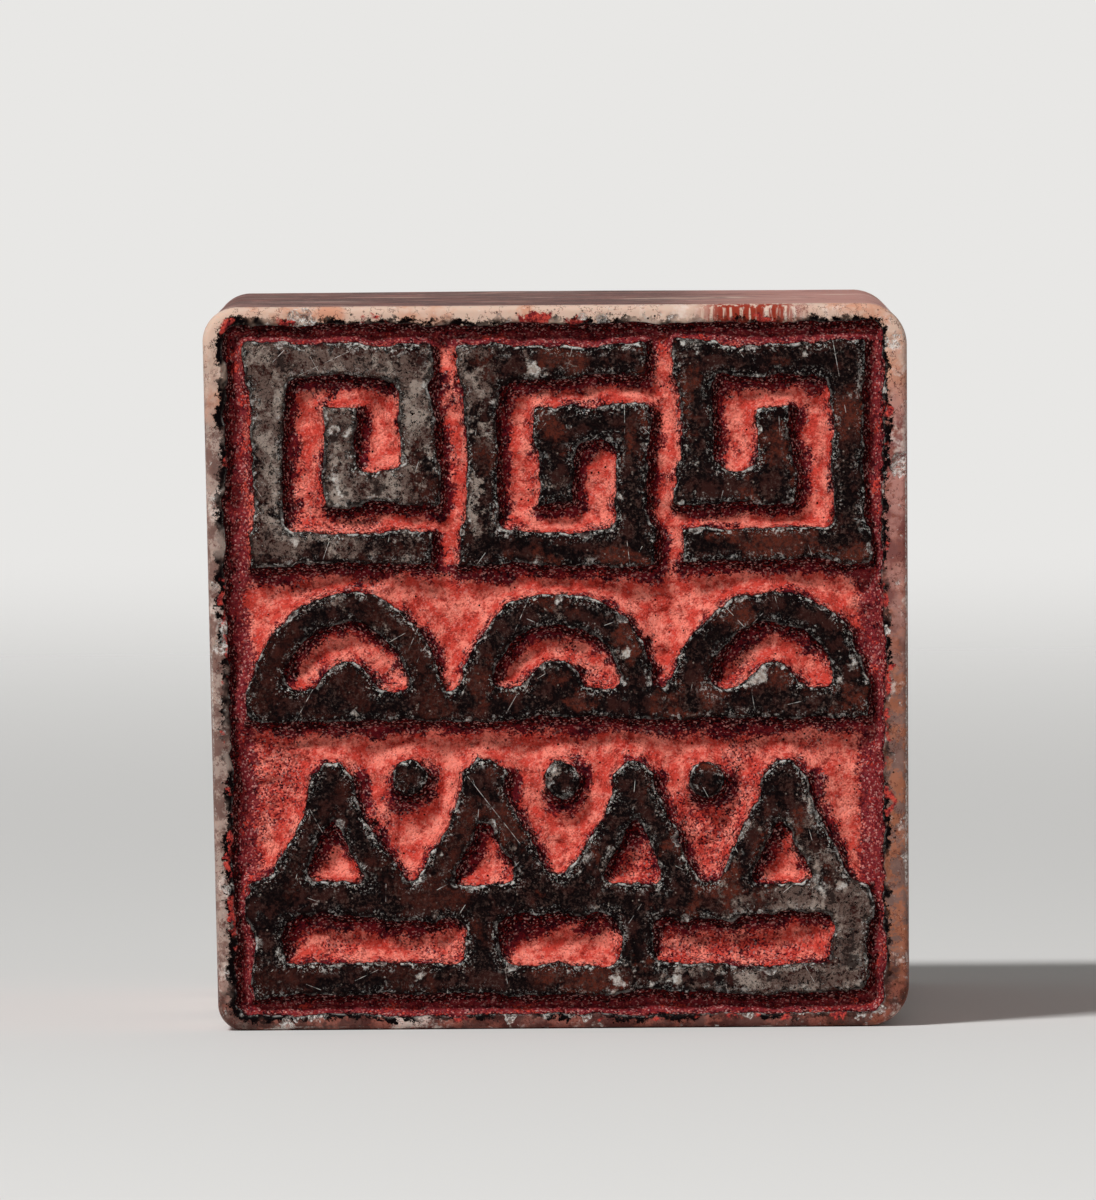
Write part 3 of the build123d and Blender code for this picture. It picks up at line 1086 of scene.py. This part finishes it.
# The stroke tops: black-brown, with pale mottled patches at the upper left and lower right
def topColours(b, x, cut, fine, elsewhere):
    top = b.mix(b.between(fine, 0.45, 0.6), "ink", "charcoal")
    top = b.mix(b.patches(0.8, 5, 0.7, 0.48, 0.6, 0.0, 0.8), top, "umber")
    warm = b.times(b.patches(2.4, 5, 0.6, 0.5, 0.6), b.between(x, *stainsAndShade["warmRight"], 0.25, 1.0))
    top = b.mix(warm, top, b.mix(b.between(fine, 0.42, 0.58), "umber", "amber"))
    ashy = b.patches(1.7, 5, 0.7, 0.42, 0.56, 0.15, 0.8, where=elsewhere)
    top = b.mix(b.times(b.patches(0.2, 6, 0.85, 0.5, 0.6), ashy), top, "ash")
    pale = b.mix(b.patches(0.4, 6, 0.8, 0.4, 0.52), "umber", "taupe")
    pale = b.mix(b.patches(1.3, 6, 0.75, 0.48, 0.6, 0.0, 0.85), pale, "bone")
    pale = b.mix(b.patches(0.14, 4, 0.85, 0.54, 0.58), pale, "ink")
    pale = b.mix(b.patches(0.8, 5, 0.75, 0.54, 0.6, 0.0, 0.85), pale, "charcoal")
    grey = b.larger(greyPatch(b, stainsAndShade["greyLeft"]), greyPatch(b, stainsAndShade["greyRight"]))
    patchy = b.plus(grey, b.swing(b.noise(1.5, 6, 0.75), 4.0))
    top = b.mix(b.between(patchy, 0.45, 0.7), top, pale)
    milky = b.mix(b.patches(0.25, 5, 0.8, 0.42, 0.6), "bone", "crystal")
    top = b.mix(b.patches(2.4, 6, 0.7, 0.62, 0.67, 0.0, 0.85, where=elsewhere), top, milky)
    edgeInk = b.between(b.plus(cut, b.swing(b.noise(0.4, 5, 0.8), 1.2)), -0.2, -0.08)
    top = b.mix(b.times(edgeInk, 0.85), top, "ink")
    glints = b.times(b.dots(0.26, 0.05, 0.4), b.patches(0.9, 5, 0.7, 0.44, 0.58, 0.1, 0.65))
    return b.mix(glints, top, "bone")


# White crystals where the edges are bruised, and painted highlights that gather them along the upper edges,
# which face the light
def edgeCrystalsAndHighlights(b, cut, upper, elsewhere):
    nearEdge = b.times(b.between(cut, -0.5, -0.05), b.between(upper, -0.4, 0.5, 0.5, 1.0))
    clusters = b.times(b.patches(0.9, 4, 0.7, 0.46, 0.56), nearEdge)
    crystalsAndHighlights = b.times(b.patches(0.1, 3, 0.8, 0.57, 0.62), clusters)
    edgeFrostAndHighlight = b.times(b.between(cut, -0.12, -0.02), b.patches(0.4, 5, 0.8, 0.5, 0.58))
    crystalsAndHighlights = b.larger(crystalsAndHighlights, b.times(edgeFrostAndHighlight, b.between(upper, 0.0, 0.7, 0.15, 0.9)))
    bruises = b.patches(0.34, 5, 0.8, 0.58, 0.63, 0.0, 0.9, where=elsewhere)
    return b.larger(crystalsAndHighlights, b.times(bruises, nearEdge))


def stoneMaterial(name, specular):
    b = Bench(name, stoneColours)
    x, y, z = b.split(b.place)
    behind = b.minus(y, stoneLow.y / mm)
    cut, pocket = b.attribute("cut"), b.attribute("pocket")
    elsewhere = b.vector("ADD", b.place, (40.0, 0.0, 17.0))
    fine = b.noise(0.15, 4, 0.8)
    sway = b.swing(b.noise(2.2, 5, 0.65), 9.0)
    height, side = b.plus(z, sway), b.plus(x, sway)
    upSide = b.times(b.between(z, *stainsAndShade["topEdge"]), b.between(behind, 0.5, 1.2))
    body = bodyColours(b, x, side, behind, upSide)
    top = topColours(b, x, cut, fine, elsewhere)
    # white crystals on bruised edges, with painted highlights on the upper edges
    crystalsAndHighlights = edgeCrystalsAndHighlights(b, cut, b.attribute("upper"), elsewhere)
    top = b.mix(crystalsAndHighlights, top, "crystal")
    usual, short, long = (b.scratches(*sizes) for sizes in stoneFinish["scratches"])
    lines = b.larger(b.larger(usual, short), long)
    top = b.mix(b.times(lines, b.patches(0.3, 3, 0.55, 0.4, 0.62, 0.0, 0.85)), top, "crystal")

    # the face with its fresh bites, and under it the walls, near black with plum and maroon
    onStroke = b.between(pocket, -0.1, 0.1)
    face = b.mix(onStroke, rimColours(b, x, z, side, height, pocket, fine, elsewhere), top)
    freshColour = b.mix(b.patches(0.13, 4, 0.8, 0.4, 0.6), "taupe", "crystal")
    freshShare = b.between(b.attribute("fresh"), 0.03, 0.07)
    face = b.mix(b.times(freshShare, b.patches(0.22, 5, 0.8, 0.42, 0.56, 0.1, 0.9)), face, freshColour)
    wall = b.mix(b.patches(0.5, 5, 0.7, 0.42, 0.58), "ink", "plum")
    wall = b.mix(b.patches(0.3, 5, 0.7, 0.54, 0.62, 0.0, 0.8), wall, "maroon")
    inRecess = b.between(pocket, -0.12, 0.0)
    face = b.mix(b.times(b.between(behind, 0.07, 0.2), inRecess), face, wall)
    deep = b.times(inRecess, b.between(behind, 2.4, 2.0))
    onFace = b.larger(b.between(behind, 0.5, 0.25), deep)
    b.finish("Base Color", b.mix(onFace, body, face))

    # duller on the strokes and on the darkened side
    rough = b.patches(0.6, 5, 0.7, 0.35, 0.75, 0.14, 0.42)
    topRough = b.patches(0.3, 5, 0.7, 0.35, 0.65, 0.3, 0.7)
    isTop = b.times(onFace, onStroke)
    mixed = b.plus(b.times(rough, b.minus(1.0, isTop)), b.times(topRough, isTop))
    b.finish("Roughness", b.larger(mixed, b.times(upSide, 0.85)))
    b.finish("Subsurface Weight", stoneFinish["glow"])
    b.finish("Subsurface Radius", stoneFinish["glowColours"])
    b.finish("Subsurface Scale", stoneFinish["glowReach"] * mm)
    b.finish("Specular IOR Level", specular)
    grains = b.plus(b.times(b.noise(0.2, 6, 0.8), 2.0), b.times(lines, -0.4))
    grains = b.plus(grains, b.times(crystalsAndHighlights, 0.4))
    b.roughen(b.times(grains, b.between(isTop, 0.0, 1.0, 0.25, 1.0)), stoneFinish["grainDepth"])
    return b.material


pasteColours = {
    "coral": (210, 72, 60),
    "brightCoral": (250, 138, 120),
    "brick": (134, 32, 28),
    "maroon": (108, 26, 36),
    "plum": (44, 11, 22),
    "wine": (130, 44, 50),
    "rose": (242, 178, 170),
    # near black, for sooty specks and for painted shadow at the walls
    "soot": (10, 2, 4),
}


pasteFinish = {"grain": 0.075, "specular": 0.03, "grainDepth": 0.06}


def pasteMaterial():
    b = Bench("driedSealPaste", pasteColours)
    cut, pocket = b.attribute("cut"), b.attribute("pocket")
    body = b.mix(b.patches(0.8, 5, 0.7, 0.42, 0.6), "coral", "brightCoral")
    body = b.mix(b.patches(0.45, 6, 0.8, 0.53, 0.63, 0.0, 0.85), body, "brick")

    # darker by the walls, partly plum and maroon paste and partly painted shade, which is widest by the
    # upper and left walls, where shadow falls; darker paste too by the rim and in whole stretches
    edge = b.mix(b.patches(0.5, 5, 0.75, 0.42, 0.58), "plum", "maroon")
    # painted shade: the dark band by the walls is widest on the side that faces away from the light
    width = b.between(b.attribute("rubbed"), -0.7, 0.7, 0.7, 0.0)
    ragged = b.minus(b.plus(cut, b.swing(b.noise(1.5, 6, 0.7), 2.2)), width)
    stretch = b.patches(4.4, 3, 0.5, 0.5, 0.62, 0.0, 0.5)
    byRim = b.times(b.between(pocket, 1.5, 0.8), b.patches(1.6, 5, 0.7, 0.32, 0.46, 0.2, 0.92))
    edge = b.mix(b.times(byRim, b.patches(0.4, 6, 0.8, 0.42, 0.54)), edge, "wine")
    darkShare = b.larger(b.between(ragged, 0.4, -0.3), b.larger(stretch, byRim))
    distance, tone, pick = b.grains(pasteFinish["grain"])
    darkGrain = b.between(b.plus(darkShare, b.swing(pick, 0.7)), 0.32, 0.82)
    body = b.mix(darkGrain, body, edge)
    # painted shadow: near black right at the walls, reaching further by the upper and left ones
    paintedWallShadow = b.minus(b.plus(cut, b.swing(b.noise(0.6, 5, 0.75), 1.0)), b.times(width, 0.42))
    paintedWallShadow = b.minus(paintedWallShadow, b.swing(pick, 0.16))
    body = b.mix(b.between(paintedWallShadow, 0.1, -0.04, 0.0, 0.9), body, "soot")

    # single grains, pale, brick and black
    body = b.mix(b.between(tone, 0.8, 1.0, 0.0, b.between(darkShare, 0.2, 1.0, 0.26, 0.5)), body, "rose")
    body = b.mix(b.between(tone, 0.3, 0.05, 0.0, 0.5), body, "brick")
    b.finish("Base Color", b.mix(b.dots(0.3, 0.06, 0.14), body, "soot"))
    b.finish("Roughness", b.between(tone, 0.8, 0.98, 0.9, 0.45))
    b.finish("Specular IOR Level", pasteFinish["specular"])
    height = b.plus(b.times(distance, -0.7), b.times(b.noise(0.3, 5, 0.8), 1.8))
    b.roughen(height, pasteFinish["grainDepth"])
    return b.material


def dress(piece, materials, node):
    piece.data.materials.clear()
    for material in materials:
        piece.data.materials.append(material)
    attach(piece, "root")
    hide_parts(node)


def partFinishes():
    centres = np.empty(len(stone.data.polygons) * 3)
    stone.data.polygons.foreach_get("center", centres)
    u, v, depth = fromPlace(centres.reshape(-1, 3))
    inPocket = (depth < stoneFinish["pocketDepth"]) & (pocketInset(u, v) > -rim["bottom"] / 3)
    inked = (depth < stoneFinish["faceDepth"]) | inPocket
    stone.data.polygons.foreach_set("material_index", inked.astype(np.int32))
    stone.data.update()


polished = stoneMaterial("polishedStone", stoneFinish["polishedSpecular"])
inked = stoneMaterial("inkedStone", stoneFinish["inkedSpecular"])
dress(stone, (polished, inked), "seal_stone")
partFinishes()
driedPaste = pasteMaterial()
for node, pool in pools.items():
    dress(pool, (driedPaste,), node)
print("materials on")


# Pale floor and soft light
studio = {
    "floorSize": 3.0,
    "floorFade": (90, 900),  # mm from the seal: where the floor starts to fade out, and where it has gone
    "floorColour": (222, 221, 219),
    "floorRoughness": 0.8,
    "worldColour": (232, 231, 229),
    "ambient": 0.15,
    "key": {"power": 26, "size": 0.34, "from": (-0.62, -0.92, 1.26)},
    "fill": {"power": 0.4, "size": 0.5, "from": (0.4, -0.7, 0.15)},
}


def setFloor():
    bpy.ops.mesh.primitive_plane_add(size=studio["floorSize"], location=(0, 0, 0))
    floor = bpy.context.object
    floor.name = "floor"
    b = Bench("paleFloor")
    b.finish("Base Color", colour(studio["floorColour"]))
    b.finish("Roughness", studio["floorRoughness"])
    clear = b.nodes.new("ShaderNodeBsdfTransparent")
    fade = b.nodes.new("ShaderNodeMixShader")
    away = b.between(b.vector("LENGTH", b.place), *studio["floorFade"])
    b.put(fade.inputs[0], away)
    b.put(fade.inputs[1], b.shader.outputs["BSDF"])
    b.put(fade.inputs[2], clear.outputs["BSDF"])
    b.put(b.nodes["Material Output"].inputs["Surface"], fade.outputs["Shader"])
    floor.data.materials.append(b.material)


def setLight(name):
    settings = studio[name]
    bpy.ops.object.light_add(type="AREA", location=settings["from"])
    lamp = bpy.context.object
    lamp.name = name + "Light"
    lamp.data.energy = settings["power"]
    lamp.data.size = settings["size"]
    target = Vector((0, stoneLow.y, middleZ))
    lamp.rotation_euler = (target - lamp.location).to_track_quat("-Z", "Y").to_euler()


def setWorld():
    world = bpy.data.worlds.new("studioWorld")
    bpy.context.scene.world = world
    world.use_nodes = True
    nodes, links = world.node_tree.nodes, world.node_tree.links
    background = nodes["Background"]
    background.inputs["Color"].default_value = colour(studio["worldColour"])
    path = nodes.new("ShaderNodeLightPath")
    seen = path.outputs["Is Camera Ray"]
    for ray in ("Is Glossy Ray", "Is Transmission Ray"):
        either = nodes.new("ShaderNodeMath")
        either.operation = "MAXIMUM"
        links.new(seen, either.inputs[0])
        links.new(path.outputs[ray], either.inputs[1])
        seen = either.outputs[0]
    strength = nodes.new("ShaderNodeMapRange")
    links.new(seen, strength.inputs["Value"])
    strength.inputs["To Min"].default_value = studio["ambient"]
    strength.inputs["To Max"].default_value = 1.0
    links.new(strength.outputs["Result"], background.inputs["Strength"])


setFloor()
setLight("key")
setLight("fill")
setWorld()
bpy.context.scene.view_settings.view_transform = "Standard"
print("floor and light set")
